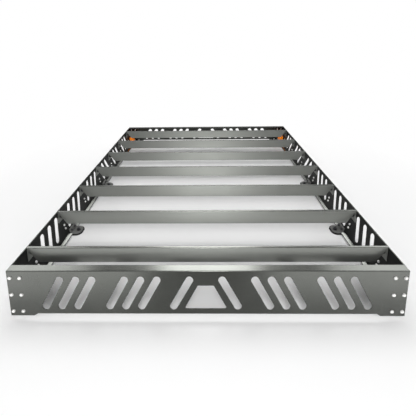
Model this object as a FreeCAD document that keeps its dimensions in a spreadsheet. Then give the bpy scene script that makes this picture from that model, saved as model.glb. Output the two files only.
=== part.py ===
import FreeCAD, Part
import math
import os
import Sketcher

# Roof rack: four slotted sheet panels, seven folded crossbars and six bolted feet.
# Millimetres. X is across the vehicle, +Y points to its front, Z is up.
# The origin is under the middle of the rack, on the surface that the foot pads stand on.

doc = FreeCAD.newDocument("roof_rack")
sheet = doc.addObject("Spreadsheet::Sheet", "Sizes")

# Driving dimensions, one row of the sheet each.
SIZES = {
    "rack_width": 1250,
    "bar_pitch": 212,
    "panel_height": 138,
    "panel_sheet": 3,
    "fit_gap": 0.2,
    "end_angle": 27,
    "end_drop": 133,
    "end_flange": 25,
    "end_relief": 7,
    "corner_tab": 75,
    "corner_slope": 12,
    "fold_radius": 3,
    "side_flange": 15,
    "side_flange_angle": 20,
    "end_tab": 54,
    "slot_width": 24,
    "end_slot_angle": 30,
    "end_slot_pitch": 51,
    "end_slot_top": 30,
    "end_slot_bottom": 117.5,
    "side_slot_angle": 27.5,
    "side_slot_pitch": 51,
    "side_slot_first": 51.5,
    "side_slot_top": 25,
    "side_slot_bottom": 100,
    "window_top": 48,
    "window_bottom": 125,
    "window_top_width": 50,
    "window_bottom_width": 135,
    "window_corner": 4,
    "bar_height": 44,
    "bar_top": 10,
    "bar_angle": 29,
    "bar_sheet": 2.5,
    "bar_tab": 18,
    "foot_ahead": 43,
    "foot_width": 54,
    "foot_reach": 42,
    "foot_leg": 27,
    "foot_sheet": 4,
    "foot_corner": 20,
    "foot_notch_gap": 3,
    "foot_hole": 9,
    "foot_hole_reach": 27,
    "pad_sheet": 5,
    "pad_rim": 4,
    "lamp_from_end": 37,
    "lamp_lift": 23,
    "lamp_length": 70,
    "lamp_height": 40,
    "lamp_depth": 36,
    "lamp_bevel": 5,
    "lamp_frame": 6,
    "lamp_frame_sheet": 4,
}

BAR_COUNT = 7
SLOTS_PER_BAY = 3
BAYS_PER_HALF = 3
SLOT_GROUP_STARTS = (3, 7)
FOOT_BARS = (2, 4, 6)

# An edge counts as lying on a line if its ends are this near to it.
ON_LINE = 0.01
ALONG_X, ALONG_Y, ALONG_Z = 0, 1, 2
BOTH = (-1, 1)


class Measure:
    """A size that carries its number and the formula that ties it to the sheet."""

    def __init__(self, value, formula):
        self.value = value
        self.formula = formula

    def combine(self, other, sign, value):
        return Measure(value, f"({self.formula} {sign} {other.formula})")

    def __add__(self, other):
        other = measure(other)
        return self.combine(other, "+", self.value + other.value)

    def __sub__(self, other):
        other = measure(other)
        return self.combine(other, "-", self.value - other.value)

    def __mul__(self, other):
        other = measure(other)
        return self.combine(other, "*", self.value * other.value)

    def __truediv__(self, other):
        other = measure(other)
        return self.combine(other, "/", self.value / other.value)

    def __neg__(self):
        return measure(0) - self


def measure(number):
    if isinstance(number, Measure):
        return number
    return Measure(float(number), f"{float(number)}")


def sine(angle):
    return Measure(math.sin(math.radians(angle.value)), f"sin({angle.formula} * 1 deg)")


def cosine(angle):
    return Measure(math.cos(math.radians(angle.value)), f"cos({angle.formula} * 1 deg)")


def tangent(angle):
    return Measure(math.tan(math.radians(angle.value)), f"tan({angle.formula} * 1 deg)")


def fill_sheet():
    """Write each driving dimension to a row of the sheet and return it as a measure."""
    named = {}
    for row, (alias, number) in enumerate(SIZES.items(), start=1):
        sheet.set(f"A{row}", alias)
        sheet.set(f"B{row}", str(number))
        sheet.setAlias(f"B{row}", alias)
        named[alias] = Measure(float(number), f"Sizes.{alias}")
    doc.recompute()
    return named


size = fill_sheet()

# Places that several pieces share.
ZERO = measure(0)
GROUND = size["pad_sheet"] + size["foot_sheet"]
RACK_TOP = GROUND + size["panel_height"]
HALF_WIDTH = size["rack_width"] / 2
HALF_TOP_LENGTH = size["bar_pitch"] * BAR_COUNT / 2
END_TAN = tangent(size["end_angle"])
END_SIN = sine(size["end_angle"])
END_COS = cosine(size["end_angle"])
END_SLANT = size["end_drop"] / END_COS
BAR_TAN = tangent(size["bar_angle"])
BAR_COS = cosine(size["bar_angle"])
FLANGE_TAN = tangent(size["side_flange_angle"])
FLANGE_COS = cosine(size["side_flange_angle"])
END_SLOT_TAN = tangent(size["end_slot_angle"])
SIDE_SLOT_TAN = tangent(size["side_slot_angle"])
SLOT_RADIUS = size["slot_width"] / 2
PANEL_INSIDE = HALF_WIDTH - size["panel_sheet"] - size["fit_gap"]
LAMP_PLACE = HALF_TOP_LENGTH - size["lamp_from_end"]
LAMP_RISE = size["panel_sheet"] + size["lamp_lift"] + size["lamp_frame"] + size["lamp_height"] / 2


def bar_place(number):
    """Distance of a crossbar's middle from the rack's middle, bar 1 at the front."""
    return size["bar_pitch"] * ((BAR_COUNT + 1) / 2 - number)


def foot_place(bar):
    """Distance of a foot's middle from the rack's middle: a little ahead of its crossbar."""
    return bar_place(bar) + size["foot_ahead"]


def bind(item, path, amount):
    item.setExpression(path, amount.formula)


def place(body, x, y, z, axis=FreeCAD.Vector(0, 0, 1), angle=ZERO):
    """Put a body at a bound place, turned by a bound angle about one axis."""
    body.Placement = FreeCAD.Placement(
        FreeCAD.Vector(x.value, y.value, z.value), FreeCAD.Rotation(axis, angle.value))
    bind(body, ".Placement.Base.x", x)
    bind(body, ".Placement.Base.y", y)
    bind(body, ".Placement.Base.z", z)
    if angle.value:
        bind(body, ".Placement.Rotation.Angle", angle)


def new_body(label):
    body = doc.addObject("PartDesign::Body", label)
    body.Label = label
    return body


def new_sketch(body, plane, label):
    sketch = body.newObject("Sketcher::SketchObject", label)
    for feature in body.Origin.OriginFeatures:
        if feature.Role == plane:
            sketch.AttachmentSupport = [(feature, "")]
    sketch.MapMode = "FlatFace"
    return sketch


def pin_point(sketch, element, end, point):
    """Fix a sketch point at bound distances from the sketch's origin."""
    for kind, amount in (("DistanceX", point[0]), ("DistanceY", point[1])):
        number = sketch.addConstraint(Sketcher.Constraint(kind, -1, 1, element, end, amount.value))
        bind(sketch, f"Constraints[{number}]", amount)


def vector(point):
    return FreeCAD.Vector(point[0].value, point[1].value, 0)


def draw_polygon(sketch, points):
    """Closed outline of straight lines, every corner bound to the sheet."""
    first = sketch.GeometryCount
    following = points[1:] + points[:1]
    for start, end in zip(points, following):
        sketch.addGeometry(Part.LineSegment(vector(start), vector(end)), False)
    count = len(points)
    for index in range(count):
        after = first + (index + 1) % count
        sketch.addConstraint(Sketcher.Constraint("Coincident", first + index, 2, after, 1))
    for index, point in enumerate(points):
        pin_point(sketch, first + index, 1, point)


def draw_slot(sketch, start, end, radius):
    """Round-ended slot between two bound arc centres."""
    first = sketch.GeometryCount
    run = vector(end) - vector(start)
    along = math.atan2(run.y, run.x)
    across = FreeCAD.Vector(-math.sin(along), math.cos(along), 0) * radius.value
    quarter = math.pi / 2
    up = FreeCAD.Vector(0, 0, 1)
    start_circle = Part.Circle(vector(start), up, radius.value)
    end_circle = Part.Circle(vector(end), up, radius.value)
    sketch.addGeometry(Part.ArcOfCircle(start_circle, along + quarter, along + 3 * quarter), False)
    sketch.addGeometry(Part.LineSegment(vector(start) - across, vector(end) - across), False)
    sketch.addGeometry(Part.ArcOfCircle(end_circle, along - quarter, along + quarter), False)
    sketch.addGeometry(Part.LineSegment(vector(end) + across, vector(start) + across), False)
    sketch.addConstraint(Sketcher.Constraint("Tangent", first, 2, first + 1, 1))
    sketch.addConstraint(Sketcher.Constraint("Tangent", first + 1, 2, first + 2, 1))
    sketch.addConstraint(Sketcher.Constraint("Tangent", first + 2, 2, first + 3, 1))
    sketch.addConstraint(Sketcher.Constraint("Tangent", first + 3, 2, first, 1))
    sketch.addConstraint(Sketcher.Constraint("Equal", first, first + 2))
    number = sketch.addConstraint(Sketcher.Constraint("Radius", first, radius.value))
    bind(sketch, f"Constraints[{number}]", radius)
    pin_point(sketch, first, 3, start)
    pin_point(sketch, first + 2, 3, end)


def draw_hole(sketch, centre, diameter):
    radius = diameter / 2
    element = sketch.GeometryCount
    sketch.addGeometry(Part.Circle(vector(centre), FreeCAD.Vector(0, 0, 1), radius.value), False)
    number = sketch.addConstraint(Sketcher.Constraint("Radius", element, radius.value))
    bind(sketch, f"Constraints[{number}]", radius)
    pin_point(sketch, element, 3, centre)


def add_pad(body, sketch, length, midplane=False, backward=False):
    pad = body.newObject("PartDesign::Pad", sketch.Name + "_pad")
    pad.Profile = sketch
    pad.Length = length.value
    bind(pad, "Length", length)
    pad.Midplane = midplane
    pad.Reversed = backward
    return pad


def add_cut(body, sketch, length=None):
    """Cut a sketch on both sides of its plane, through the whole body or over a bound length."""
    cut = body.newObject("PartDesign::Pocket", sketch.Name + "_cut")
    cut.Profile = sketch
    cut.Midplane = True
    if length is None:
        cut.Type = "ThroughAll"
    else:
        cut.Length = length.value
        bind(cut, "Length", length)
    return cut


def edges_along(feature, axis, places):
    """Names of the edges that run along one axis through given places on the other two."""
    doc.recompute([feature])
    names = []
    for number, edge in enumerate(feature.Shape.Edges, start=1):
        for first, second in places:
            target = [first.value, second.value]
            target.insert(axis, None)
            if all(near_place(corner.Point, target) for corner in edge.Vertexes):
                names.append(f"Edge{number}")
    return names


def near_place(point, target):
    return all(wanted is None or abs(found - wanted) < ON_LINE for found, wanted in zip(point, target))


def round_edges(body, feature, label, radius, axis, places):
    fillet = body.newObject("PartDesign::Fillet", label)
    fillet.Base = (feature, edges_along(feature, axis, places))
    fillet.Radius = radius.value
    bind(fillet, "Radius", radius)
    return fillet


def add_row(body, feature, axis_role, step, count, backward=False):
    """Repeat a cut along one of the body's own axes."""
    row = body.newObject("PartDesign::LinearPattern", feature.Name + "_row")
    row.Originals = [feature]
    for origin_feature in body.Origin.OriginFeatures:
        if origin_feature.Role == axis_role:
            row.Direction = (origin_feature, [""])
    row.Reversed = backward
    row.Occurrences = count
    span = step * (count - 1)
    row.Length = span.value
    bind(row, "Length", span)
    body.Tip = row
    return row


def end_panel(label, inward):
    """Leaning sheet across one end: slots, a middle window and a level top flange."""
    body = new_body(label)
    sheet_depth = size["panel_sheet"]
    flange = size["end_flange"]
    side = measure(inward)
    profile = new_sketch(body, "YZ_Plane", label + "_profile")
    inner_corner = sheet_depth * (measure(1) - END_SIN) / END_COS
    draw_polygon(profile, [
        (ZERO, ZERO),
        (side * flange * END_COS, flange * END_SIN),
        (side * (flange * END_COS + sheet_depth * END_SIN), flange * END_SIN - sheet_depth * END_COS),
        (side * sheet_depth, -inner_corner),
        (side * sheet_depth, -END_SLANT),
        (ZERO, -END_SLANT),
    ])
    bent = add_pad(body, profile, size["rack_width"], midplane=True)
    round_edges(body, bent, label + "_fold", size["fold_radius"], ALONG_X, [(ZERO, ZERO)])

    # The bottom edge is raised between the two corner tabs.
    relief = new_sketch(body, "XZ_Plane", label + "_relief")
    relief_half = HALF_WIDTH - size["corner_tab"]
    relief_top = size["end_relief"] - END_SLANT
    below = -END_SLANT - size["end_relief"]
    draw_polygon(relief, [
        (-relief_half, below),
        (relief_half, below),
        (relief_half, -END_SLANT),
        (relief_half - size["corner_slope"], relief_top),
        (size["corner_slope"] - relief_half, relief_top),
        (-relief_half, -END_SLANT),
    ])
    add_cut(body, relief)

    # Slots lean outwards towards the bottom, in groups on each side of the window.
    slot_run = END_SLOT_TAN * (size["end_slot_bottom"] - size["end_slot_top"])
    for hand, hand_name in ((-1, "left"), (1, "right")):
        slots = new_sketch(body, "XZ_Plane", f"{label}_slots_{hand_name}")
        steps = [1]
        for start in SLOT_GROUP_STARTS:
            steps.extend(start + extra for extra in range(SLOTS_PER_BAY))
        for step in steps:
            top_x = size["end_slot_pitch"] * step
            draw_slot(slots, (top_x * hand, -size["end_slot_top"]),
                      ((top_x + slot_run) * hand, -size["end_slot_bottom"]), SLOT_RADIUS)
        add_cut(body, slots)

    window = new_sketch(body, "XZ_Plane", label + "_window")
    half_top = size["window_top_width"] / 2
    half_bottom = size["window_bottom_width"] / 2
    corners = [
        (-half_top, -size["window_top"]),
        (half_top, -size["window_top"]),
        (half_bottom, -size["window_bottom"]),
        (-half_bottom, -size["window_bottom"]),
    ]
    draw_polygon(window, corners)
    pierced = add_cut(body, window)
    round_edges(body, pierced, label + "_window_corners", size["window_corner"], ALONG_Y, corners)

    lean = size["end_angle"] * -inward
    outer_edge = HALF_TOP_LENGTH * -inward
    place(body, ZERO, outer_edge, RACK_TOP, FreeCAD.Vector(1, 0, 0), lean)
    return body


def side_panel(label, hand):
    """Upright slotted side sheet with a sloping bottom flange and leaning end tabs, all folded inwards."""
    body = new_body(label)
    depth = size["panel_sheet"]
    gap = size["fit_gap"]
    height = size["panel_height"]
    inward = -hand
    backward = inward < 0
    inset = depth / END_COS
    end_clear = inset + gap
    under_flange = depth + gap
    flange_clear = HALF_TOP_LENGTH - size["end_flange"] - gap
    reach = size["side_flange"]
    web_base = FLANGE_TAN * reach
    flange_upright = depth / FLANGE_COS

    def end_at(drop):
        return HALF_TOP_LENGTH - end_clear + END_TAN * drop

    web_end = end_at(height - web_base)
    web = new_sketch(body, "YZ_Plane", label + "_web")
    draw_polygon(web, [
        (-web_end, web_base),
        (web_end, web_base),
        (end_at(under_flange), height - under_flange),
        (flange_clear, height - under_flange),
        (flange_clear, height),
        (-flange_clear, height),
        (-flange_clear, height - under_flange),
        (-end_at(under_flange), height - under_flange),
    ])
    add_pad(body, web, depth, backward=backward)

    # The flange slopes down towards the middle of the rack and stops short of the end tabs.
    flange = new_sketch(body, "XZ_Plane", label + "_flange")
    draw_polygon(flange, [
        (ZERO, web_base),
        (reach * inward, ZERO),
        (reach * inward, flange_upright),
        (ZERO, web_base + flange_upright),
    ])
    add_pad(body, flange, (web_end - inset * 3) * 2, midplane=True)

    # Tabs that the end panels bolt to lie along the leaning ends.
    for end, end_name in ((-1, "rear"), (1, "front")):
        tab = new_sketch(body, "YZ_Plane", f"{label}_{end_name}_tab")
        draw_polygon(tab, [
            (web_end * end, web_base),
            (end_at(under_flange) * end, height - under_flange),
            ((end_at(under_flange) - inset) * end, height - under_flange),
            ((web_end - inset) * end, web_base),
        ])
        add_pad(body, tab, size["end_tab"], backward=backward)

    # Three slots a bay, leaning away from the middle of the rack towards the bottom.
    slot_half_run = SIDE_SLOT_TAN * (size["side_slot_bottom"] - size["side_slot_top"]) / 2
    for end, end_name in ((-1, "rear"), (1, "front")):
        slots = new_sketch(body, "YZ_Plane", f"{label}_{end_name}_slots")
        for number in range(SLOTS_PER_BAY):
            middle = size["side_slot_first"] + size["side_slot_pitch"] * number
            draw_slot(slots, ((middle - slot_half_run) * end, height - size["side_slot_top"]),
                      ((middle + slot_half_run) * end, height - size["side_slot_bottom"]), SLOT_RADIUS)
        cut = add_cut(body, slots)
        add_row(body, cut, "Y_Axis", size["bar_pitch"], BAYS_PER_HALF, backward=end < 0)

    # The flange is notched where a foot's leg stands against the sheet.
    notch_half = size["foot_width"] / 2 + size["foot_notch_gap"]
    notch_far = reach + size["foot_notch_gap"]
    notches = new_sketch(body, "XY_Plane", label + "_notches")
    for bar in FOOT_BARS:
        middle = foot_place(bar)
        draw_polygon(notches, [
            (depth * inward, middle - notch_half),
            (notch_far * inward, middle - notch_half),
            (notch_far * inward, middle + notch_half),
            (depth * inward, middle + notch_half),
        ])
    add_cut(body, notches)

    # The marker lamp stands through an opening near the front end.
    opening = new_sketch(body, "YZ_Plane", label + "_lamp_opening")
    half_length = size["lamp_length"] / 2 + gap
    half_height = size["lamp_height"] / 2 + gap
    draw_polygon(opening, [
        (LAMP_PLACE - half_length, LAMP_RISE - half_height),
        (LAMP_PLACE + half_length, LAMP_RISE - half_height),
        (LAMP_PLACE + half_length, LAMP_RISE + half_height),
        (LAMP_PLACE - half_length, LAMP_RISE + half_height),
    ])
    add_cut(body, opening)
    place(body, HALF_WIDTH * hand, ZERO, GROUND)
    return body


def crossbar(number):
    """Folded channel with two leaning sides, open below, with a bolting tab at each end."""
    label = f"crossbar_{number}"
    body = new_body(label)
    length = PANEL_INSIDE * 2
    height = size["bar_height"]
    half_top = size["bar_top"] / 2
    half_base = half_top + BAR_TAN * height
    wall = size["bar_sheet"] / BAR_COS
    under_top = size["bar_sheet"]

    def inside_at(drop):
        return half_top + BAR_TAN * drop - wall

    outside = new_sketch(body, "YZ_Plane", label + "_outside")
    folds = [(half_top, ZERO), (-half_top, ZERO)]
    draw_polygon(outside, [(-half_base, -height), (half_base, -height)] + folds)
    solid = add_pad(body, outside, length, midplane=True)
    round_edges(body, solid, label + "_folds", size["fold_radius"], ALONG_X, folds)

    inside = new_sketch(body, "YZ_Plane", label + "_inside")
    below = height + size["bar_sheet"]
    draw_polygon(inside, [
        (-inside_at(below), -below),
        (inside_at(below), -below),
        (inside_at(under_top), -under_top),
        (-inside_at(under_top), -under_top),
    ])
    add_cut(body, inside, length - size["bar_sheet"] * 2)

    # The ends are cut back beside the tabs, so that the side slots stay clear.
    tab_half = size["bar_tab"] / 2
    tab_drop = (tab_half - half_top + wall) / BAR_TAN
    relief = new_sketch(body, "YZ_Plane", label + "_relief")
    for hand in (-1, 1):
        draw_polygon(relief, [
            (tab_half * hand, -tab_drop),
            (tab_half * hand, -below),
            (inside_at(below) * hand, -below),
        ])
    add_cut(body, relief)

    place(body, ZERO, bar_place(number), RACK_TOP)
    return body


def foot_plate(body, hand, rim, thickness):
    """Foot plan: square where it meets the side panel, round corners towards the middle."""
    half = size["foot_width"] / 2 + rim
    reach = (size["foot_reach"] + rim) * -hand
    outline = new_sketch(body, "XY_Plane", body.Label + "_outline")
    inner_corners = [(reach, -half), (reach, half)]
    draw_polygon(outline, [(ZERO, -half)] + inner_corners + [(ZERO, half)])
    plate = add_pad(body, outline, thickness)
    round_edges(body, plate, body.Label + "_corners", size["foot_corner"] + rim, ALONG_Z, inner_corners)


def foot_bracket(label, hand, bar):
    """Bent steel foot: a leg bolted to the side panel and a round-cornered plate on its pad."""
    body = new_body(label)
    foot_plate(body, hand, ZERO, size["foot_sheet"])

    leg = new_sketch(body, "YZ_Plane", label + "_leg")
    half = size["foot_width"] / 2
    draw_polygon(leg, [(-half, ZERO), (half, ZERO), (half, size["foot_leg"]), (-half, size["foot_leg"])])
    bent = add_pad(body, leg, size["foot_sheet"], backward=hand > 0)
    round_edges(body, bent, label + "_bend", size["fold_radius"], ALONG_Y, [(ZERO, ZERO)])

    base_hole = new_sketch(body, "XY_Plane", label + "_base_hole")
    draw_hole(base_hole, (size["foot_hole_reach"] * -hand, ZERO), size["foot_hole"])
    add_cut(body, base_hole)
    place(body, PANEL_INSIDE * hand, foot_place(bar), size["pad_sheet"])
    return body


def foot_pad(label, hand, bar):
    """Rubber pad, a rim wider than the foot plate that stands on it."""
    body = new_body(label)
    foot_plate(body, hand, size["pad_rim"], size["pad_sheet"])
    hole = new_sketch(body, "XY_Plane", label + "_hole")
    draw_hole(hole, (size["foot_hole_reach"] * -hand, ZERO), size["foot_hole"])
    add_cut(body, hole)
    place(body, PANEL_INSIDE * hand, foot_place(bar), ZERO)
    return body


def lamp_rectangle(sketch, half_length, half_height):
    draw_polygon(sketch, [
        (-half_length, -half_height),
        (half_length, -half_height),
        (half_length, half_height),
        (-half_length, half_height),
    ])


def marker_lens(label, hand):
    """Amber marker lens with bevelled faces that stands through the side panel's opening."""
    body = new_body(label)
    outline = new_sketch(body, "YZ_Plane", label + "_outline")
    half_length = size["lamp_length"] / 2
    half_height = size["lamp_height"] / 2
    half_depth = size["lamp_depth"] / 2
    lamp_rectangle(outline, half_length, half_height)
    block = add_pad(body, outline, size["lamp_depth"], midplane=True)
    rims = edges_along(block, ALONG_Y, [(half_depth * x, half_height * z) for x in BOTH for z in BOTH])
    rims += edges_along(block, ALONG_Z, [(half_depth * x, half_length * y) for x in BOTH for y in BOTH])
    bevel = body.newObject("PartDesign::Chamfer", label + "_bevel")
    bevel.Base = (block, rims)
    bevel.Size = size["lamp_bevel"].value
    bind(bevel, "Size", size["lamp_bevel"])
    place(body, (HALF_WIDTH - size["panel_sheet"] / 2 - size["lamp_depth"] / 4) * hand,
          LAMP_PLACE, GROUND + LAMP_RISE)
    return body


def marker_frame(label, hand):
    """Frame round the lens, seated on the side panel's inner face."""
    body = new_body(label)
    half_length = size["lamp_length"] / 2
    half_height = size["lamp_height"] / 2
    outline = new_sketch(body, "YZ_Plane", label + "_outline")
    lamp_rectangle(outline, half_length + size["lamp_frame"], half_height + size["lamp_frame"])
    add_pad(body, outline, size["lamp_frame_sheet"], backward=hand > 0)
    opening = new_sketch(body, "YZ_Plane", label + "_opening")
    lamp_rectangle(opening, half_length + size["fit_gap"], half_height + size["fit_gap"])
    add_cut(body, opening)
    place(body, PANEL_INSIDE * hand, LAMP_PLACE, GROUND + LAMP_RISE)
    return body


def build():
    """Make every sub-part and return them in the order of their files."""
    parts = [end_panel("rear_panel", 1), end_panel("front_panel", -1)]
    hands = ((-1, "left"), (1, "right"))
    for hand, hand_name in hands:
        parts.append(side_panel(f"side_panel_{hand_name}", hand))
    for number in range(1, BAR_COUNT + 1):
        parts.append(crossbar(number))
    rows = zip(FOOT_BARS, ("front", "middle", "rear"))
    for bar, row_name in rows:
        for hand, hand_name in hands:
            parts.append(foot_bracket(f"foot_bracket_{row_name}_{hand_name}", hand, bar))
            parts.append(foot_pad(f"foot_pad_{row_name}_{hand_name}", hand, bar))
    for hand, hand_name in hands:
        parts.append(marker_lens(f"marker_lens_{hand_name}", hand))
        parts.append(marker_frame(f"marker_frame_{hand_name}", hand))
    doc.recompute()
    return parts


def check(parts):
    """Stop before anything is written if a feature failed or a shape is not one sound solid."""
    for item in doc.Objects:
        if "Invalid" in item.State or "Error" in item.State:
            raise RuntimeError(f"{item.Label} failed: {item.State}")
    for part in parts:
        shape = part.Shape
        if shape.isNull() or not shape.isValid() or len(shape.Solids) != 1:
            raise RuntimeError(f"{part.Label} is not one valid solid")


def export(parts):
    os.makedirs("parts", exist_ok=True)
    for part in parts:
        part.Shape.exportStep(f"parts/{part.Label}.step")


rack = build()
check(rack)
export(rack)
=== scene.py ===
import math

import bmesh
import bpy
from mathutils import Matrix, Vector


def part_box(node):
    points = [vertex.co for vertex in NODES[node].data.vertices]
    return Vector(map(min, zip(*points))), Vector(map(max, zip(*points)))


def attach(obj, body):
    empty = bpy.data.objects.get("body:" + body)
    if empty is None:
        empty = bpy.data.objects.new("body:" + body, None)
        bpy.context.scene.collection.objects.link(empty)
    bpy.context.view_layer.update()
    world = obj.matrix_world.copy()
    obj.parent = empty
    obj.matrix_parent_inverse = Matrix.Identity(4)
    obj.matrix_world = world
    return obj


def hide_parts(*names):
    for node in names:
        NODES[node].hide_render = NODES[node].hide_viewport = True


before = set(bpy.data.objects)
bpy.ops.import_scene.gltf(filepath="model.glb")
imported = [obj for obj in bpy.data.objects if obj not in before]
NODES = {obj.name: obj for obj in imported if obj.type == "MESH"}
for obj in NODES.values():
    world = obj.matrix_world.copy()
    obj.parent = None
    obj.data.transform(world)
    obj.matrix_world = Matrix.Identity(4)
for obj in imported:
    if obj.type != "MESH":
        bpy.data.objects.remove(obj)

SCENE = bpy.context.scene
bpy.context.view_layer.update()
MM = 0.001

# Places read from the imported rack
RACK_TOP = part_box("rear_panel")[1].z
HALF_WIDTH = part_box("side_panel_right")[1].x
BAR_COUNT = 7
BAR_NAMES = [f"crossbar_{number}" for number in range(1, BAR_COUNT + 1)]
BAR_PLACES = [sum(corner.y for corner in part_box(name)) / 2 for name in BAR_NAMES]
BAR_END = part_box("crossbar_1")[1].x
FOOT_NAMES = [name for name in sorted(NODES) if name.startswith("foot_bracket_")]
PAD_NAMES = [name for name in sorted(NODES) if name.startswith("foot_pad_")]
FOOT_LOW, FOOT_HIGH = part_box("foot_bracket_middle_right")

# Sheet and section sizes of the panels and bars
PANEL_SHEET = 3 * MM
BAR_SHEET = 2.5 * MM
FOOT_SHEET = 4 * MM
BAR_HEIGHT = 44 * MM
BAR_HALF_TOP = 5 * MM
BAR_LEAN = math.radians(29)
BAR_FOLD = 3 * MM
BAR_MITRE = 40 * MM
FIT_GAP = 0.2 * MM
END_FLANGE = 25 * MM
END_ANGLE = math.radians(27)
HALF_TOP_LENGTH = -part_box("rear_panel")[1].y + END_FLANGE

# Where the fasteners sit
CORNER_COLUMNS = (10 * MM, 41.5 * MM)
CORNER_ROWS = (23 * MM, 78.5 * MM, 134 * MM)
BAR_BOLT_DROP = 27 * MM
SIDE_BOLT_DROPS = (75 * MM, 93 * MM)
LEG_BOLT_HALF_PITCH = 15 * MM
LEG_BOLT_RISE = 21 * MM
FOOT_BOLT_REACH = 27 * MM

# The camera that the photograph was fitted to
CAMERA_PLACE = Vector((0.0041, -1.2322, 0.7324))
CAMERA_YAW = math.radians(0.913)
CAMERA_PITCH = math.radians(-35.477)
CAMERA_ROLL = math.radians(-0.740)
CAMERA_LENS = 20.70
CAMERA_SENSOR = 36.0
CAMERA_SHIFT = (0.0104, 0.0021)


# Small helpers for node trees

def add_node(tree, kind, **settings):
    """Adds a node and sets its properties."""
    node = tree.nodes.new(kind)
    for name, value in settings.items():
        setattr(node, name, value)
    return node


def fill(node, **values):
    """Sets a node's input sockets, with spaces in their names written as underscores."""
    for name, value in values.items():
        node.inputs[name.replace("_", " ")].default_value = value
    return node


def math_node(tree, operation, first, second=None, clamp=False):
    """A Math node whose inputs are sockets or plain numbers."""
    node = add_node(tree, "ShaderNodeMath", operation=operation, use_clamp=clamp)
    for socket, value in zip(node.inputs, (first, second)):
        if isinstance(value, bpy.types.NodeSocket):
            tree.links.new(value, socket)
        elif value is not None:
            socket.default_value = value
    return node.outputs[0]


# Materials

PAINT_IOR = 1.8
PAINT_SHEEN = (0.965, 1.0, 0.93)
NOISE_ROUGHNESS = 0.55
EDGE_SAMPLES = 6


def new_material(name):
    """A material with its Principled shader, its tree and Object coordinates."""
    material = bpy.data.materials.new(name)
    material.use_nodes = True
    tree = material.node_tree
    shader = tree.nodes["Principled BSDF"]
    place = add_node(tree, "ShaderNodeTexCoord").outputs["Object"]
    return material, tree, shader, place


def noise(tree, place, scale, detail):
    """A noise pattern of a given number of grains to the metre."""
    node = fill(add_node(tree, "ShaderNodeTexNoise"), Scale=scale, Detail=detail, Roughness=NOISE_ROUGHNESS)
    tree.links.new(place, node.inputs["Vector"])
    return node.outputs["Fac"]


def remap(tree, value, low, high, from_low=0.3, from_high=0.7):
    """Spreads a value, by default the middle of a noise pattern, over a range."""
    node = fill(add_node(tree, "ShaderNodeMapRange", clamp=True),
                From_Min=from_low, From_Max=from_high, To_Min=low, To_Max=high)
    tree.links.new(value, node.inputs["Value"])
    return node.outputs["Result"]


def shade(colour, share):
    """A colour made darker or paler by a share."""
    return tuple(share * channel for channel in colour)


def blend_colours(tree, factor, first, second):
    """Mixes two colours, each a socket or an RGB value, by a factor socket."""
    node = add_node(tree, "ShaderNodeMix", data_type="RGBA")
    tree.links.new(factor, node.inputs["Factor"])
    colour_inputs = [socket for socket in node.inputs if socket.type == "RGBA"]
    for socket, value in zip(colour_inputs, (first, second)):
        if isinstance(value, bpy.types.NodeSocket):
            tree.links.new(value, socket)
        else:
            socket.default_value = (*value, 1.0)
    return [socket for socket in node.outputs if socket.type == "RGBA"][0]


def edge_normal(tree, radius):
    """The surface normal with its edges rounded off, for the glint along a sheet's edge."""
    return fill(add_node(tree, "ShaderNodeBevel", samples=EDGE_SAMPLES), Radius=radius).outputs["Normal"]


def edge_share(tree, rounded, gain):
    """Nearly 0 on a flat face, towards 1 where the rounded normal leaves the true one."""
    true_normal = add_node(tree, "ShaderNodeNewGeometry").outputs["Normal"]
    dot = add_node(tree, "ShaderNodeVectorMath", operation="DOT_PRODUCT")
    tree.links.new(rounded, dot.inputs[0])
    tree.links.new(true_normal, dot.inputs[1])
    lost = math_node(tree, "SUBTRACT", 1.0, dot.outputs["Value"], clamp=True)
    return math_node(tree, "MULTIPLY", lost, gain, clamp=True)


def bump(tree, height, strength, distance, normal):
    """A fine relief on top of a normal."""
    node = fill(add_node(tree, "ShaderNodeBump"), Strength=strength, Distance=distance)
    tree.links.new(height, node.inputs["Height"])
    tree.links.new(normal, node.inputs["Normal"])
    return node.outputs["Normal"]


def powder_coat(name, colour, rough, edge_colour, gloss=0.5):
    """Baked powder paint on sheet metal: satin, with a fine orange peel and edges where it thins."""
    material, tree, shader, place = new_material(name)
    shader.inputs["IOR"].default_value = PAINT_IOR
    shader.inputs["Specular IOR Level"].default_value = gloss
    shader.inputs["Specular Tint"].default_value = (*PAINT_SHEEN, 1.0)
    cloud = noise(tree, place, scale=14.0, detail=4.0)
    grain = noise(tree, place, scale=950.0, detail=2.0)
    peel = noise(tree, place, scale=420.0, detail=2.0)
    rounded = edge_normal(tree, radius=1.6 * MM)
    edges = edge_share(tree, rounded, gain=2.2)
    worn = math_node(tree, "MULTIPLY", edges, remap(tree, cloud, low=0.35, high=1.0))
    clouding = remap(tree, cloud, low=0.0, high=1.0)
    body = blend_colours(tree, clouding, shade(colour, 0.82), shade(colour, 1.2))
    tree.links.new(blend_colours(tree, worn, body, edge_colour), shader.inputs["Base Color"])
    wide_uneven = remap(tree, cloud, low=-0.03, high=0.03)
    fine_uneven = remap(tree, grain, low=-0.02, high=0.02)
    uneven = math_node(tree, "ADD", wide_uneven, fine_uneven)
    tree.links.new(math_node(tree, "ADD", uneven, rough), shader.inputs["Roughness"])
    orange_peel = bump(tree, peel, strength=0.12, distance=0.05 * MM, normal=rounded)
    tree.links.new(orange_peel, shader.inputs["Normal"])
    return material


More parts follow.
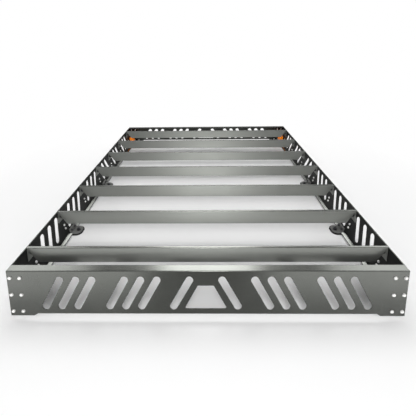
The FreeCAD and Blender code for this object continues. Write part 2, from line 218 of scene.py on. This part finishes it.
def pad_rubber():
    """Matt black moulded rubber with a fine pebble and a little dust."""
    material, tree, shader, place = new_material("pad_rubber")
    clean_rubber, dusty_rubber = (0.012, 0.012, 0.012), (0.026, 0.026, 0.025)
    dust = noise(tree, place, scale=60.0, detail=5.0)
    pebble = noise(tree, place, scale=1500.0, detail=2.0)
    body = blend_colours(tree, remap(tree, dust, low=0.0, high=1.0), clean_rubber, dusty_rubber)
    tree.links.new(body, shader.inputs["Base Color"])
    tree.links.new(remap(tree, dust, low=0.68, high=0.85), shader.inputs["Roughness"])
    shader.inputs["Specular IOR Level"].default_value = 0.35
    rounded = edge_normal(tree, radius=1.0 * MM)
    pebbled = bump(tree, pebble, strength=0.35, distance=0.12 * MM, normal=rounded)
    tree.links.new(pebbled, shader.inputs["Normal"])
    return material


def amber_lens():
    """Orange moulded lens with fine upright flutes, and a faint painted glow that brightens it in its
    shade.
    """
    material, tree, shader, place = new_material("amber_lens")
    deep_amber, pale_amber = (0.86, 0.17, 0.006), (1.0, 0.27, 0.012)
    wave = add_node(tree, "ShaderNodeTexWave", wave_type="BANDS", bands_direction="Y")
    fill(wave, Scale=140.0, Distortion=0.0)
    tree.links.new(place, wave.inputs["Vector"])
    flutes = wave.outputs["Fac"]
    cloud = noise(tree, place, scale=90.0, detail=2.0)
    body = blend_colours(tree, flutes, deep_amber, pale_amber)
    tree.links.new(body, shader.inputs["Base Color"])
    tree.links.new(remap(tree, cloud, low=0.12, high=0.22), shader.inputs["Roughness"])
    # Painted light: the lens glows faintly in its own colours, to brighten it in its shade
    tree.links.new(body, shader.inputs["Emission Color"])
    shader.inputs["Emission Strength"].default_value = 0.3
    rounded = edge_normal(tree, radius=1.5 * MM)
    fluted = bump(tree, flutes, strength=0.4, distance=0.4 * MM, normal=rounded)
    tree.links.new(fluted, shader.inputs["Normal"])
    return material


def plated_steel(name, colour, rough):
    """Plated fastener steel with a soft brushed unevenness."""
    material, tree, shader, place = new_material(name)
    stain = noise(tree, place, scale=240.0, detail=4.0)
    brushing = noise(tree, place, scale=1800.0, detail=2.0)
    body = blend_colours(tree, remap(tree, stain, low=0.0, high=1.0), shade(colour, 0.8), colour)
    tree.links.new(body, shader.inputs["Base Color"])
    shader.inputs["Metallic"].default_value = 1.0
    tree.links.new(remap(tree, stain, low=rough - 0.06, high=rough + 0.08), shader.inputs["Roughness"])
    rounded = edge_normal(tree, radius=0.4 * MM)
    brushed = bump(tree, brushing, strength=0.1, distance=0.03 * MM, normal=rounded)
    tree.links.new(brushed, shader.inputs["Normal"])
    return material


# Level faces take a glossier copy of each paint than upright and leaning ones, so that they catch more
# light
END_COLOUR, END_EDGE = (0.011, 0.0115, 0.010), (0.05, 0.05, 0.05)
# Painted shade: the side panels take the same black paint made darker, for the shade on their inner faces
SIDE_PAINTED_SHADE_COLOUR, SIDE_EDGE = (0.005, 0.0052, 0.005), (0.04, 0.04, 0.04)
# Painted light: the bars take the same black paint made paler, for the light on their faces
BAR_PAINTED_LIGHT_COLOUR, BAR_EDGE = (0.040, 0.041, 0.0385), (0.16, 0.16, 0.16)
END_PAINT = powder_coat("end_panel_paint", END_COLOUR, rough=0.24, edge_colour=END_EDGE, gloss=0.32)
END_LEVEL_PAINT = powder_coat("end_flange_paint", END_COLOUR, rough=0.22, edge_colour=END_EDGE, gloss=1.0)
SIDE_PAINT = powder_coat("side_panel_paint", SIDE_PAINTED_SHADE_COLOUR, rough=0.45, edge_colour=SIDE_EDGE, gloss=0.1)
SIDE_LEVEL_PAINT = powder_coat("side_flange_paint", SIDE_PAINTED_SHADE_COLOUR, rough=0.24, edge_colour=SIDE_EDGE,
                               gloss=1.0)
BAR_PAINT = powder_coat("bar_paint", BAR_PAINTED_LIGHT_COLOUR, rough=0.42, edge_colour=BAR_EDGE, gloss=1.0)
BAR_TOP_PAINT = powder_coat("bar_top_paint", BAR_PAINTED_LIGHT_COLOUR, rough=0.24, edge_colour=BAR_EDGE, gloss=1.0)
FOOT_PAINT = powder_coat("foot_paint", (0.12, 0.12, 0.118), rough=0.4, edge_colour=(0.18, 0.18, 0.18))
FRAME_PLASTIC = powder_coat("lamp_frame", (0.012, 0.012, 0.012), rough=0.5, edge_colour=(0.03, 0.03, 0.03),
                            gloss=0.2)
RUBBER = pad_rubber()
AMBER = amber_lens()
BRIGHT_STEEL = plated_steel("bright_steel", (0.97, 0.965, 0.95), rough=0.46)
DARK_STEEL = plated_steel("dark_steel", (0.10, 0.10, 0.105), rough=0.36)

# A face is level where its normal rises more than this
LEVEL_RISE = 0.72


def paint_mesh(mesh, material, level_material=None):
    """Gives a mesh its finish, and its level upper faces another where there is one."""
    mesh.materials.clear()
    mesh.materials.append(material)
    if level_material is not None:
        mesh.materials.append(level_material)
        for face in mesh.polygons:
            face.material_index = int(face.normal.z > LEVEL_RISE)


def paint_nodes(names, material, level_material=None):
    """Gives CAD nodes their finish."""
    for name in names:
        paint_mesh(NODES[name].data, material, level_material)


SIDES = ("left", "right")
paint_nodes(["rear_panel", "front_panel"], END_PAINT, END_LEVEL_PAINT)
paint_nodes([f"side_panel_{side}" for side in SIDES], SIDE_PAINT, SIDE_LEVEL_PAINT)
paint_nodes(BAR_NAMES, BAR_PAINT, BAR_TOP_PAINT)
paint_nodes(FOOT_NAMES, FOOT_PAINT)
paint_nodes(PAD_NAMES, RUBBER)
paint_nodes([f"marker_lens_{side}" for side in SIDES], AMBER)
paint_nodes([f"marker_frame_{side}" for side in SIDES], FRAME_PLASTIC)


# Geometry Nodes trees for the fasteners

ROUND_CORNERS = 32
THREAD_CORNERS = 16
HEX_CORNERS = 6
HEAD_LAYERS = 7
HEAD_CURVE = 0.82
NUT_LAYERS = 8
NUT_CURVE = 0.48
NUT_TURNING = 1.06


def new_shape_tree(name, sizes):
    """A geometry tree with a points input, named size inputs and a finish, and its group nodes."""
    tree = bpy.data.node_groups.new(name, "GeometryNodeTree")
    tree.interface.new_socket("Points", in_out="INPUT", socket_type="NodeSocketGeometry")
    for size in sizes:
        tree.interface.new_socket(size, in_out="INPUT", socket_type="NodeSocketFloat")
    tree.interface.new_socket("Seed", in_out="INPUT", socket_type="NodeSocketInt")
    tree.interface.new_socket("Finish", in_out="INPUT", socket_type="NodeSocketMaterial")
    tree.interface.new_socket("Fasteners", in_out="OUTPUT", socket_type="NodeSocketGeometry")
    given = add_node(tree, "NodeGroupInput")
    result = add_node(tree, "NodeGroupOutput")
    return tree, given.outputs, result.inputs


def disc(tree, corners, radius, height, bottom, layers=1):
    """An upright prism or cylinder whose lower face is at the height bottom, which may be a socket."""
    solid = fill(add_node(tree, "GeometryNodeMeshCylinder"), Vertices=corners, Side_Segments=layers)
    tree.links.new(radius, solid.inputs["Radius"])
    tree.links.new(height, solid.inputs["Depth"])
    middle = math_node(tree, "ADD", bottom, math_node(tree, "MULTIPLY", height, 0.5))
    lift = add_node(tree, "ShaderNodeCombineXYZ")
    tree.links.new(middle, lift.inputs["Z"])
    moved = add_node(tree, "GeometryNodeTransform")
    tree.links.new(solid.outputs["Mesh"], moved.inputs["Geometry"])
    tree.links.new(lift.outputs["Vector"], moved.inputs["Translation"])
    return moved.outputs["Geometry"]


def rounded_crown(tree, shape, bottom, height, curve):
    """Draws a cylinder's sides in towards its top along part of an ellipse."""
    place = add_node(tree, "GeometryNodeInputPosition").outputs["Position"]
    parts = add_node(tree, "ShaderNodeSeparateXYZ")
    tree.links.new(place, parts.inputs["Vector"])
    climb = math_node(tree, "DIVIDE", math_node(tree, "SUBTRACT", parts.outputs["Z"], bottom), height)
    bent = math_node(tree, "POWER", math_node(tree, "MULTIPLY", climb, curve), 2.0)
    width = math_node(tree, "SQRT", math_node(tree, "SUBTRACT", 1.0, bent, clamp=True))
    drawn = add_node(tree, "ShaderNodeCombineXYZ")
    for axis in "XY":
        tree.links.new(math_node(tree, "MULTIPLY", parts.outputs[axis], width), drawn.inputs[axis])
    tree.links.new(parts.outputs["Z"], drawn.inputs["Z"])
    moved = add_node(tree, "GeometryNodeSetPosition")
    tree.links.new(shape, moved.inputs["Geometry"])
    tree.links.new(drawn.outputs["Vector"], moved.inputs["Position"])
    return moved.outputs["Geometry"]


def boolean(tree, operation, first, second):
    """Cuts one closed mesh by another, or keeps what they share."""
    node = add_node(tree, "GeometryNodeMeshBoolean", operation=operation, solver="EXACT")
    if operation == "DIFFERENCE":
        tree.links.new(first, node.inputs["Mesh 1"])
    else:
        tree.links.new(first, node.inputs["Mesh 2"])
    tree.links.new(second, node.inputs["Mesh 2"])
    return node.outputs["Mesh"]


def finish_tree(tree, given, result, shapes):
    """Sets the joined shape on every point, along its facing and turned by chance, in its finish."""
    joined = add_node(tree, "GeometryNodeJoinGeometry")
    for shape in shapes:
        tree.links.new(shape, joined.inputs["Geometry"])
    facing = add_node(tree, "GeometryNodeInputNamedAttribute", data_type="FLOAT_VECTOR")
    fill(facing, Name="facing")
    aligned = add_node(tree, "FunctionNodeAlignRotationToVector", axis="Z")
    tree.links.new(facing.outputs["Attribute"], aligned.inputs["Vector"])
    spread = add_node(tree, "GeometryNodeInstanceOnPoints")
    tree.links.new(given["Points"], spread.inputs["Points"])
    tree.links.new(joined.outputs["Geometry"], spread.inputs["Instance"])
    tree.links.new(aligned.outputs["Rotation"], spread.inputs["Rotation"])
    chance = add_node(tree, "FunctionNodeRandomValue", data_type="FLOAT")
    least = [socket for socket in chance.inputs if socket.name == "Min" and socket.type == "VALUE"][0]
    most = [socket for socket in chance.inputs if socket.name == "Max" and socket.type == "VALUE"][0]
    drawn = [socket for socket in chance.outputs if socket.type == "VALUE"][0]
    least.default_value = 0.0
    most.default_value = math.tau
    tree.links.new(given["Seed"], chance.inputs["Seed"])
    angle = add_node(tree, "ShaderNodeCombineXYZ")
    tree.links.new(drawn, angle.inputs["Z"])
    turned = fill(add_node(tree, "GeometryNodeRotateInstances"), Local_Space=True)
    tree.links.new(spread.outputs["Instances"], turned.inputs["Instances"])
    tree.links.new(angle.outputs["Vector"], turned.inputs["Rotation"])
    real = add_node(tree, "GeometryNodeRealizeInstances")
    tree.links.new(turned.outputs["Instances"], real.inputs["Geometry"])
    coated = add_node(tree, "GeometryNodeSetMaterial")
    tree.links.new(real.outputs["Geometry"], coated.inputs["Geometry"])
    tree.links.new(given["Finish"], coated.inputs["Material"])
    tree.links.new(coated.outputs["Geometry"], result["Fasteners"])


def button_bolt_tree():
    """A washer and a button head with a six-sided key socket."""
    sizes = ("Washer Radius", "Washer Height", "Head Radius", "Head Height", "Key Radius", "Key Depth")
    tree, given, result = new_shape_tree("button_bolt", sizes)
    washer = disc(tree, ROUND_CORNERS, given["Washer Radius"], given["Washer Height"], 0.0)
    head = disc(tree, ROUND_CORNERS, given["Head Radius"], given["Head Height"], given["Washer Height"],
                HEAD_LAYERS)
    head = rounded_crown(tree, head, given["Washer Height"], given["Head Height"], HEAD_CURVE)
    top = math_node(tree, "ADD", given["Washer Height"], given["Head Height"])
    key_bottom = math_node(tree, "SUBTRACT", top, given["Key Depth"])
    key_height = math_node(tree, "MULTIPLY", given["Key Depth"], 2.0)
    key = disc(tree, HEX_CORNERS, given["Key Radius"], key_height, key_bottom)
    finish_tree(tree, given, result, (washer, boolean(tree, "DIFFERENCE", head, key)))
    return tree


def hex_nut_tree():
    """A washer, a six-sided nut with its corners turned off, and the bolt's end standing out of it."""
    sizes = ("Washer Radius", "Washer Height", "Nut Radius", "Nut Height", "Thread Radius", "Thread Height")
    tree, given, result = new_shape_tree("hex_nut", sizes)
    washer = disc(tree, ROUND_CORNERS, given["Washer Radius"], given["Washer Height"], 0.0)
    nut = disc(tree, HEX_CORNERS, given["Nut Radius"], given["Nut Height"], given["Washer Height"])
    turned_radius = math_node(tree, "MULTIPLY", given["Nut Radius"], NUT_TURNING)
    round_off = disc(tree, ROUND_CORNERS, turned_radius, given["Nut Height"], given["Washer Height"],
                     NUT_LAYERS)
    round_off = rounded_crown(tree, round_off, given["Washer Height"], given["Nut Height"], NUT_CURVE)
    nut_top = math_node(tree, "ADD", given["Washer Height"], given["Nut Height"])
    thread = disc(tree, THREAD_CORNERS, given["Thread Radius"], given["Thread Height"], nut_top)
    finish_tree(tree, given, result, (washer, boolean(tree, "INTERSECT", nut, round_off), thread))
    return tree


BUTTON_BOLT = button_bolt_tree()
HEX_NUT = hex_nut_tree()
CREASE_ANGLE = math.radians(32)


def crease(mesh):
    """Smooth shading with sharp edges where a mesh turns a corner."""
    mesh.polygons.foreach_set("use_smooth", [True] * len(mesh.polygons))
    mesh.set_sharp_from_angle(angle=CREASE_ANGLE)


def lay_fasteners(name, spots, tree, sizes, finish, seed):
    """Grows one tree's fasteners on (place, facing) spots and leaves them as one plain mesh."""
    carrier = bpy.data.meshes.new(f"{name}_spots")
    carrier.from_pydata([place for place, facing in spots], [], [])
    facings = carrier.attributes.new("facing", "FLOAT_VECTOR", "POINT")
    for item, (place, facing) in zip(facings.data, spots):
        item.vector = facing
    piece = bpy.data.objects.new(name, carrier)
    SCENE.collection.objects.link(piece)
    modifier = piece.modifiers.new("fasteners", "NODES")
    modifier.node_group = tree
    values = dict(sizes, Seed=seed, Finish=finish)
    for socket in tree.interface.items_tree:
        if socket.in_out == "INPUT" and socket.name in values:
            modifier[socket.identifier] = values[socket.name]
    grown = piece.evaluated_get(bpy.context.evaluated_depsgraph_get())
    mesh = bpy.data.meshes.new_from_object(grown)
    piece.modifiers.remove(modifier)
    piece.data = mesh
    mesh.name = name
    crease(mesh)
    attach(piece, "root")


# Crossbars with mitred ends, which stand for the square-ended CAD bars

HANDS = (-1, 1)
ENDS = (-1, 1)
FOLD_STEPS = 4


def bar_outline():
    """A bar's section as one loop of (across, drop) pairs: over the outside, back along the inside."""
    arc_start = BAR_HALF_TOP - BAR_FOLD * math.tan((math.pi / 2 - BAR_LEAN) / 2)
    half_base = BAR_HALF_TOP + BAR_HEIGHT * math.tan(BAR_LEAN)
    outside = [(half_base, BAR_HEIGHT)]
    inside = [(half_base - BAR_SHEET / math.cos(BAR_LEAN), BAR_HEIGHT)]
    for step in range(FOLD_STEPS + 1):
        angle = BAR_LEAN + (math.pi / 2 - BAR_LEAN) * step / FOLD_STEPS
        for line, radius in ((outside, BAR_FOLD), (inside, BAR_FOLD - BAR_SHEET)):
            line.append((arc_start + radius * math.cos(angle), BAR_FOLD - radius * math.sin(angle)))
    return both_halves(outside) + both_halves(inside)[::-1]


def plate_outline():
    """The bolting plate at a bar's end, clear of the side slots, as (across, drop) pairs."""
    neck, neck_drop, half_base = 4.5 * MM, 1 * MM, 27.5 * MM
    return both_halves([(half_base, BAR_HEIGHT), (neck, neck_drop)])


def both_halves(line):
    """A line of (across, drop) pairs and its mirror image, from foot to foot."""
    return line + [(-across, drop) for across, drop in reversed(line)]


def bar_reach(drop):
    """How far from the middle a bar's sheet goes at a drop below its top."""
    return BAR_END - BAR_MITRE * max(0.0, drop - BAR_SHEET) / (BAR_HEIGHT - BAR_SHEET)


def add_shell(corners, faces, loops, caps):
    """Adds a closed shell between two matching loops of corners, whose ends the caps close."""
    start = len(corners)
    count = len(loops[0])
    corners += loops[0] + loops[1]
    for step in range(count):
        after = (step + 1) % count
        faces.append([start + index for index in (step, after, count + after, count + step)])
    for cap in caps:
        faces.append([start + index for index in cap])
        faces.append([start + count + index for index in cap])


def face_outwards(mesh):
    """Turns every face of closed shells outwards."""
    shells = bmesh.new()
    shells.from_mesh(mesh)
    bmesh.ops.recalc_face_normals(shells, faces=shells.faces)
    shells.to_mesh(mesh)
    shells.free()


def mitred_bar(number, place):
    """One crossbar: the folded channel, mitred below its top, and a bolting plate at each end."""
    corners, faces = [], []
    section = bar_outline()
    last = len(section) - 1
    ends = [[(hand * bar_reach(drop), place + across, RACK_TOP - drop) for across, drop in section]
            for hand in HANDS]
    caps = [(step, step + 1, last - step - 1, last - step) for step in range(last // 2)]
    add_shell(corners, faces, ends, caps)
    plate = plate_outline()
    for hand in HANDS:
        sides = [[(hand * reach, place + across, RACK_TOP - drop) for across, drop in plate]
                 for reach in (BAR_END - BAR_SHEET, BAR_END)]
        add_shell(corners, faces, sides, [range(len(plate))])
    mesh = bpy.data.meshes.new(f"mitred_bar_{number}")
    mesh.from_pydata(corners, [], faces)
    face_outwards(mesh)
    crease(mesh)
    paint_mesh(mesh, BAR_PAINT, BAR_TOP_PAINT)
    piece = bpy.data.objects.new(mesh.name, mesh)
    SCENE.collection.objects.link(piece)
    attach(piece, "root")
    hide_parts(f"crossbar_{number}")


for number, place in enumerate(BAR_PLACES, start=1):
    mitred_bar(number, place)


# Fastener places

def corner_spots(depth, sign):
    """Six places at each corner of the rack, on the end panels' outer faces or depth behind them."""
    spots = []
    for end in ENDS:
        outward = Vector((0, end * math.cos(END_ANGLE), math.sin(END_ANGLE)))
        down = Vector((0, end * math.sin(END_ANGLE), -math.cos(END_ANGLE)))
        edge = Vector((0, end * HALF_TOP_LENGTH, RACK_TOP))
        for hand in HANDS:
            for column in CORNER_COLUMNS:
                across = Vector((hand * (HALF_WIDTH - column), 0, 0))
                for row in CORNER_ROWS:
                    spots.append((edge + across + row * down - depth * outward, sign * outward))
    return spots


def bar_spots(across, sign):
    """One place at each end of each crossbar, at a distance from the middle."""
    return [(Vector((hand * across, place, RACK_TOP - BAR_BOLT_DROP)), Vector((sign * hand, 0, 0)))
            for hand in HANDS for place in BAR_PLACES]


def foot_rows():
    """The hand and the place along the rack of each foot."""
    for name in FOOT_NAMES:
        low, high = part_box(name)
        yield math.copysign(1, low.x), (low.y + high.y) / 2


def side_spots(across, sign):
    """Two places on each side panel under each crossbar, one over the other."""
    return [(Vector((hand * across, place, RACK_TOP - drop)), Vector((sign * hand, 0, 0)))
            for hand in HANDS for place in BAR_PLACES for drop in SIDE_BOLT_DROPS]


def leg_spots(across, sign):
    """Two places side by side on each foot's leg."""
    spots = []
    for hand, place in foot_rows():
        for step in ENDS:
            along = place + step * LEG_BOLT_HALF_PITCH
            spots.append((Vector((hand * across, along, LEG_BOLT_RISE)), Vector((sign * hand, 0, 0))))
    return spots


def plate_spots():
    """One place on each foot's plate."""
    across = FOOT_HIGH.x - FOOT_BOLT_REACH
    return [(Vector((hand * across, place, FOOT_LOW.z + FOOT_SHEET)), Vector((0, 0, 1)))
            for hand, place in foot_rows()]


WASHER_HEIGHT = 1.2 * MM
THREAD_HEIGHT = 2 * MM
KEY_RADIUS_SHARE = 0.2
KEY_DEPTH_SHARE = 0.6


def bolt_sizes(washer, head, height):
    """Button bolt sizes from the washer's and head's widths and the head's height, in mm."""
    return {"Washer Radius": washer / 2 * MM, "Washer Height": WASHER_HEIGHT,
            "Head Radius": head / 2 * MM, "Head Height": height * MM,
            "Key Radius": KEY_RADIUS_SHARE * head * MM, "Key Depth": KEY_DEPTH_SHARE * height * MM}


def nut_sizes(washer, nut, height, thread):
    """Nut sizes from the washer's, nut's and bolt's widths and the nut's height, in mm."""
    return {"Washer Radius": washer / 2 * MM, "Washer Height": WASHER_HEIGHT,
            "Nut Radius": nut / 2 * MM, "Nut Height": height * MM,
            "Thread Radius": thread / 2 * MM, "Thread Height": THREAD_HEIGHT}


TWO_SHEETS = 2 * PANEL_SHEET + FIT_GAP
PANEL_INSIDE = HALF_WIDTH - PANEL_SHEET
LEG_INSIDE = FOOT_HIGH.x - FOOT_SHEET
SMALL_BOLT = bolt_sizes(11.6, 10.8, 3.3)
SMALL_NUT = nut_sizes(12.5, 11, 5, 6)
SIDE_BOLT = bolt_sizes(9.6, 9.2, 2.8)
SIDE_NUT = nut_sizes(10, 9.2, 4, 5)
LEG_BOLT = bolt_sizes(12, 10.5, 3.3)
LEG_NUT = nut_sizes(12, 11, 5, 6)
PLATE_NUT = nut_sizes(18, 15, 6.5, 8)

lay_fasteners("corner_bolts", corner_spots(0, 1), BUTTON_BOLT, SMALL_BOLT, BRIGHT_STEEL, seed=1)
lay_fasteners("corner_nuts", corner_spots(TWO_SHEETS, -1), HEX_NUT, SMALL_NUT, BRIGHT_STEEL, seed=2)
lay_fasteners("bar_bolts", bar_spots(HALF_WIDTH, 1), BUTTON_BOLT, SMALL_BOLT, BRIGHT_STEEL, seed=3)
lay_fasteners("bar_nuts", bar_spots(BAR_END - BAR_SHEET, -1), HEX_NUT, SMALL_NUT, DARK_STEEL, seed=4)
lay_fasteners("side_bolts", side_spots(PANEL_INSIDE, -1), BUTTON_BOLT, SIDE_BOLT, BRIGHT_STEEL, seed=5)
lay_fasteners("side_nuts", side_spots(HALF_WIDTH, 1), HEX_NUT, SIDE_NUT, BRIGHT_STEEL, seed=6)
lay_fasteners("leg_bolts", leg_spots(LEG_INSIDE, -1), BUTTON_BOLT, LEG_BOLT, DARK_STEEL, seed=7)
lay_fasteners("leg_nuts", leg_spots(HALF_WIDTH, 1), HEX_NUT, LEG_NUT, DARK_STEEL, seed=8)
lay_fasteners("plate_nuts", plate_spots(), HEX_NUT, PLATE_NUT, DARK_STEEL, seed=9)


# Floor, light and camera

FLOOR_SIZE = 40.0
FLOOR_GREY = 0.93
FLOOR_ROUGH = 0.9
FLOOR_GLOSS = 0.1
FADE_START = 0.9
FADE_END = 1.6
WORLD_FILL = 0.26
BACKDROP_FULL = math.sin(math.radians(3))
BACKDROP_TOP = math.sin(math.radians(12))


def background_rays(tree, mirrored=1.0):
    """1 for the rays that look at the background: from the camera, or by way of a clear or glossy piece."""
    path = add_node(tree, "ShaderNodeLightPath").outputs
    seen = math_node(tree, "MAXIMUM", path["Is Camera Ray"], path["Is Transmission Ray"])
    return math_node(tree, "MAXIMUM", seen, math_node(tree, "MULTIPLY", path["Is Glossy Ray"], mirrored))


def pale_floor():
    """A level floor that keeps the shadow near the rack and fades to plain white further out."""
    mesh = bpy.data.meshes.new("floor")
    half = FLOOR_SIZE / 2
    corners = [(-half, -half, 0), (half, -half, 0), (half, half, 0), (-half, half, 0)]
    mesh.from_pydata(corners, [], [(0, 1, 2, 3)])
    floor = bpy.data.objects.new("floor", mesh)
    SCENE.collection.objects.link(floor)
    material, tree, shader, place = new_material("pale_floor")
    shader.inputs["Base Color"].default_value = (FLOOR_GREY, FLOOR_GREY, FLOOR_GREY, 1.0)
    shader.inputs["Roughness"].default_value = FLOOR_ROUGH
    shader.inputs["Specular IOR Level"].default_value = FLOOR_GLOSS
    distance = add_node(tree, "ShaderNodeVectorMath", operation="LENGTH")
    tree.links.new(place, distance.inputs[0])
    away = fill(add_node(tree, "ShaderNodeMapRange", interpolation_type="SMOOTHSTEP"),
                From_Min=FADE_START, From_Max=FADE_END)
    tree.links.new(distance.outputs["Value"], away.inputs["Value"])
    white = fill(add_node(tree, "ShaderNodeEmission"), Color=(1, 1, 1, 1), Strength=1.0)
    mix = add_node(tree, "ShaderNodeMixShader")
    share = math_node(tree, "MULTIPLY", away.outputs["Result"], background_rays(tree))
    tree.links.new(share, mix.inputs["Fac"])
    tree.links.new(shader.outputs["BSDF"], mix.inputs[1])
    tree.links.new(white.outputs["Emission"], mix.inputs[2])
    tree.links.new(mix.outputs["Shader"], tree.nodes["Material Output"].inputs["Surface"])
    mesh.materials.append(material)


def studio_world():
    """White where it is looked at, a white backdrop for what mirrors it, and a low even fill as light."""
    world = bpy.data.worlds.new("studio")
    world.use_nodes = True
    tree = world.node_tree
    direction = add_node(tree, "ShaderNodeSeparateXYZ")
    tree.links.new(add_node(tree, "ShaderNodeTexCoord").outputs["Generated"], direction.inputs["Vector"])
    backdrop = remap(tree, direction.outputs["Z"], 1.0, 0.0, BACKDROP_FULL, BACKDROP_TOP)
    seen = background_rays(tree, backdrop)
    strength = math_node(tree, "ADD", math_node(tree, "MULTIPLY", seen, 1.0 - WORLD_FILL), WORLD_FILL)
    back = fill(tree.nodes["Background"], Color=(1, 1, 1, 1))
    tree.links.new(strength, back.inputs["Strength"])
    SCENE.world = world


def softbox(name, place, aim, width, height, radiance):
    """A rectangular lamp of a given brightness, turned to a point."""
    lamp = bpy.data.lights.new(name, "AREA")
    lamp.shape = "RECTANGLE"
    lamp.size = width
    lamp.size_y = height
    lamp.energy = radiance * math.pi * width * height
    holder = bpy.data.objects.new(name, lamp)
    holder.location = place
    holder.rotation_euler = (Vector(aim) - Vector(place)).to_track_quat("-Z", "Y").to_euler()
    SCENE.collection.objects.link(holder)


# Each softbox: its name, place, aim, width, height and brightness
SOFTBOXES = [
    ("front_softbox", (0, -3.0, 1.9), (0, 0, 0.9), 2.6, 3.0, 0.5),
    ("front_strip", (0, -2.8, 2.7), (0, 0, 1.2), 0.5, 2.9, 12.0),
]
for hand, side in zip(HANDS, SIDES):
    SOFTBOXES += [
        (f"low_softbox_{side}", (1.55 * hand, -2.8, 0.5), (0, -0.6, 0.1), 1.8, 0.9, 3.3),
        (f"back_side_softbox_{side}", (2.3 * hand, 0.9, 1.95), (0, -0.4, 0.1), 1.2, 1.1, 2.5),
    ]
SOFTBOXES += [
    ("back_softbox", (0, 2.3, 2.1), (0, 0, 0.1), 3.6, 1.8, 1.3),
    ("key_softbox", (0, 1.5, 2.55), (0, -0.6, 0.1), 1.6, 1.2, 4.8),
]


def photo_camera():
    """The camera at the photograph's place and angle."""
    camera = bpy.data.cameras.new("camera")
    camera.lens = CAMERA_LENS
    camera.sensor_width = CAMERA_SENSOR
    camera.shift_x, camera.shift_y = CAMERA_SHIFT
    holder = bpy.data.objects.new("camera", camera)
    turn = (Matrix.Rotation(CAMERA_YAW, 4, "Z") @ Matrix.Rotation(math.pi / 2 + CAMERA_PITCH, 4, "X")
            @ Matrix.Rotation(CAMERA_ROLL, 4, "Z"))
    holder.location = CAMERA_PLACE
    holder.rotation_euler = turn.to_euler()
    SCENE.collection.objects.link(holder)
    SCENE.camera = holder


pale_floor()
studio_world()
for lamp_values in SOFTBOXES:
    softbox(*lamp_values)
photo_camera()

SCENE.view_settings.view_transform = "Standard"
